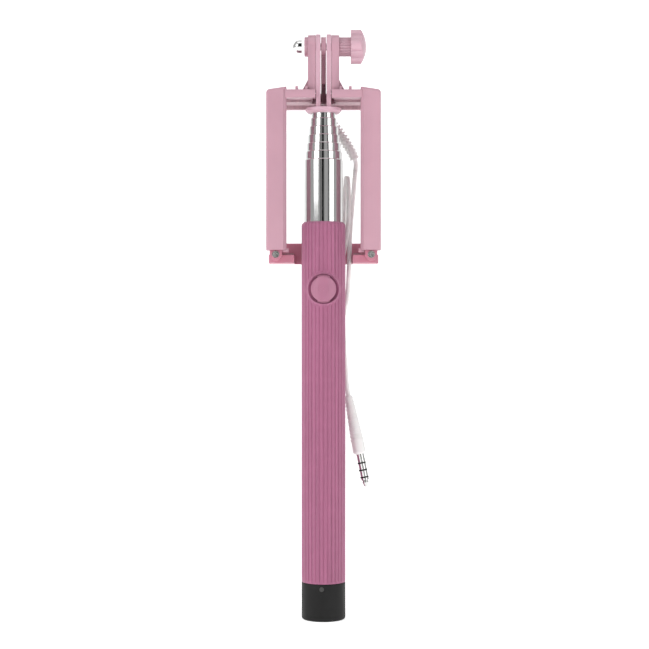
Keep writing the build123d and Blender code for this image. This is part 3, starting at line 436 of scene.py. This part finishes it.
def rounded_outline(half_width, half_height, corner):
    """Points round a rectangle with round corners, in x and z about zero."""
    points = []
    corners = ((1, 1, 0), (-1, 1, 1), (-1, -1, 2), (1, -1, 3))
    for side_x, side_z, quarter in corners:
        for step in range(MARK_CORNER_STEPS + 1):
            angle = (quarter + step / MARK_CORNER_STEPS) * math.pi / 2
            points.append((side_x * (half_width - corner) + corner * math.cos(angle),
                           side_z * (half_height - corner) + corner * math.sin(angle)))
    return points


def raised_ring(name, outer, inner):
    """Closed ring standing a little proud of the button's curved face."""
    low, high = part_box("button_cap")
    middle = (low.z + high.z) / 2
    centre_y = low.y + BUTTON_FACE_R

    def on_face(point, lift):
        x, z = point
        return (x, centre_y - math.sqrt(BUTTON_FACE_R ** 2 - x ** 2) - lift, middle + z)

    rows = [[on_face(a, -MARK_SINK), on_face(a, MARK_RISE), on_face(b, MARK_RISE), on_face(b, -MARK_SINK)]
            for a, b in zip(outer, inner)]
    ring = grid_skin(name, rows)
    for face in ring.data.polygons:
        face.use_smooth = False
    dress(ring, looks["button_pink"])
    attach(ring, "button")


raised_ring("button_mark_body",
            rounded_outline(MARK_HALF_WIDTH, MARK_HALF_HEIGHT, MARK_CORNER),
            rounded_outline(MARK_HALF_WIDTH - MARK_STROKE, MARK_HALF_HEIGHT - MARK_STROKE,
                            MARK_CORNER - MARK_STROKE))
raised_ring("button_mark_lens",
            rounded_outline(MARK_LENS_R, MARK_LENS_R, MARK_LENS_R),
            rounded_outline(MARK_LENS_INNER_R, MARK_LENS_INNER_R, MARK_LENS_INNER_R))


# ---- studio ---------------------------------------------------------------
SWEEP_REACH = 3.0       # to the front, to each side and up
SWEEP_FLAT = 1.2        # where the floor begins to rise behind the object
SWEEP_BEND_R = 0.8
SWEEP_BEND_STEPS = 12
PAPER_GLOW = 0.62
WORLD_STRENGTH = 0.5
# Brightness bands round the object, as (share of the way from -X to +X, level).
WORLD_BANDS = [(0.0, 1.0), (0.3, 1.0), (0.34, 0.15), (0.38, 0.9), (0.42, 0.03), (0.5, 0.03),
               (0.56, 1.0), (0.7, 1.0), (0.76, 0.08), (0.84, 0.08), (0.9, 1.0)]
LIGHT_TARGET = (0, 0, 0.12)
# Name, place, size and power in watts.
LIGHTS = [
    ("key_left", (-0.9, -0.9, 0.7), (0.7, 0.9), 5.5),
    ("key_right", (0.9, -0.8, 0.5), (0.6, 0.9), 3.5),
    ("top", (0.0, -0.2, 1.3), (0.9, 0.9), 3.5),
]
CAMERA_DISTANCE = 0.640
CAMERA_HEIGHT = 0.1205
CAMERA_SIDE = 0.0004
FRAME_WIDTH = 0.2661    # width of the picture at the stick
SENSOR_WIDTH = 36       # millimetres, as Blender takes it


def backdrop():
    """White floor that sweeps up behind the object."""
    mesh = bpy.data.meshes.new("studio_sweep")
    profile = [(-SWEEP_REACH, 0.0), (SWEEP_FLAT, 0.0)]
    for step in range(1, SWEEP_BEND_STEPS + 1):
        angle = step / SWEEP_BEND_STEPS * math.pi / 2
        profile.append((SWEEP_FLAT + SWEEP_BEND_R * math.sin(angle), SWEEP_BEND_R * (1 - math.cos(angle))))
    profile.append((SWEEP_FLAT + SWEEP_BEND_R, SWEEP_REACH))
    points = [(x, y, z) for x in (-SWEEP_REACH, SWEEP_REACH) for y, z in profile]
    count = len(profile)
    faces = [(i, i + count, i + 1 + count, i + 1) for i in range(count - 1)]
    mesh.from_pydata(points, [], faces)
    for face in mesh.polygons:
        face.use_smooth = True
    sweep = bpy.data.objects.new("studio_sweep", mesh)
    bpy.context.scene.collection.objects.link(sweep)
    shader = Shader("studio_paper")
    shader.put("Base Color", shader.mix(shader.noise(20), (0.93, 0.93, 0.93, 1), (0.95, 0.95, 0.95, 1)))
    shader.put("Roughness", 0.9)
    shader.put("Emission Color", (1, 1, 1, 1))
    shader.put("Emission Strength", PAPER_GLOW)
    dress(sweep, shader.material)


def soft_light(name, place, size, power):
    """Rectangular lamp that faces the middle of the stick."""
    data = bpy.data.lights.new(name, "AREA")
    data.shape = "RECTANGLE"
    data.size, data.size_y = size
    data.energy = power
    lamp = bpy.data.objects.new(name, data)
    lamp.location = place
    lamp.rotation_euler = (Vector(LIGHT_TARGET) - Vector(place)).to_track_quat("-Z", "Y").to_euler()
    bpy.context.scene.collection.objects.link(lamp)


def grey(level):
    """A neutral colour."""
    return (level, level, level, 1)


def world_light():
    """Bands of light and dark round the object, for the chrome to reflect."""
    world = bpy.data.worlds.new("studio_world")
    bpy.context.scene.world = world
    world.use_nodes = True
    tree = world.node_tree
    place = tree.nodes.new("ShaderNodeTexCoord").outputs["Generated"]
    split = tree.nodes.new("ShaderNodeSeparateXYZ")
    tree.links.new(place, split.inputs[0])
    ramp = tree.nodes.new("ShaderNodeValToRGB")
    shift = tree.nodes.new("ShaderNodeMapRange")
    shift.inputs["From Min"].default_value = -1
    tree.links.new(split.outputs["X"], shift.inputs["Value"])
    tree.links.new(shift.outputs["Result"], ramp.inputs["Fac"])
    stops = ramp.color_ramp.elements
    for stop, (position, level) in ((stops[0], WORLD_BANDS[0]), (stops[1], WORLD_BANDS[-1])):
        stop.position, stop.color = position, grey(level)
    for position, level in WORLD_BANDS[1:-1]:
        stops.new(position).color = grey(level)
    background = tree.nodes["Background"]
    tree.links.new(ramp.outputs["Color"], background.inputs["Color"])
    background.inputs["Strength"].default_value = WORLD_STRENGTH


backdrop()
world_light()
for light in LIGHTS:
    soft_light(*light)

camera_data = bpy.data.cameras.new("camera")
camera_data.sensor_width = SENSOR_WIDTH
camera_data.lens = SENSOR_WIDTH * CAMERA_DISTANCE / FRAME_WIDTH
camera = bpy.data.objects.new("camera", camera_data)
camera.location = (CAMERA_SIDE, -CAMERA_DISTANCE, CAMERA_HEIGHT)
camera.rotation_euler = (math.pi / 2, 0, 0)
bpy.context.scene.collection.objects.link(camera)
bpy.context.scene.camera = camera
bpy.context.scene.view_settings.view_transform = "Standard"

bpy.context.view_layer.update()
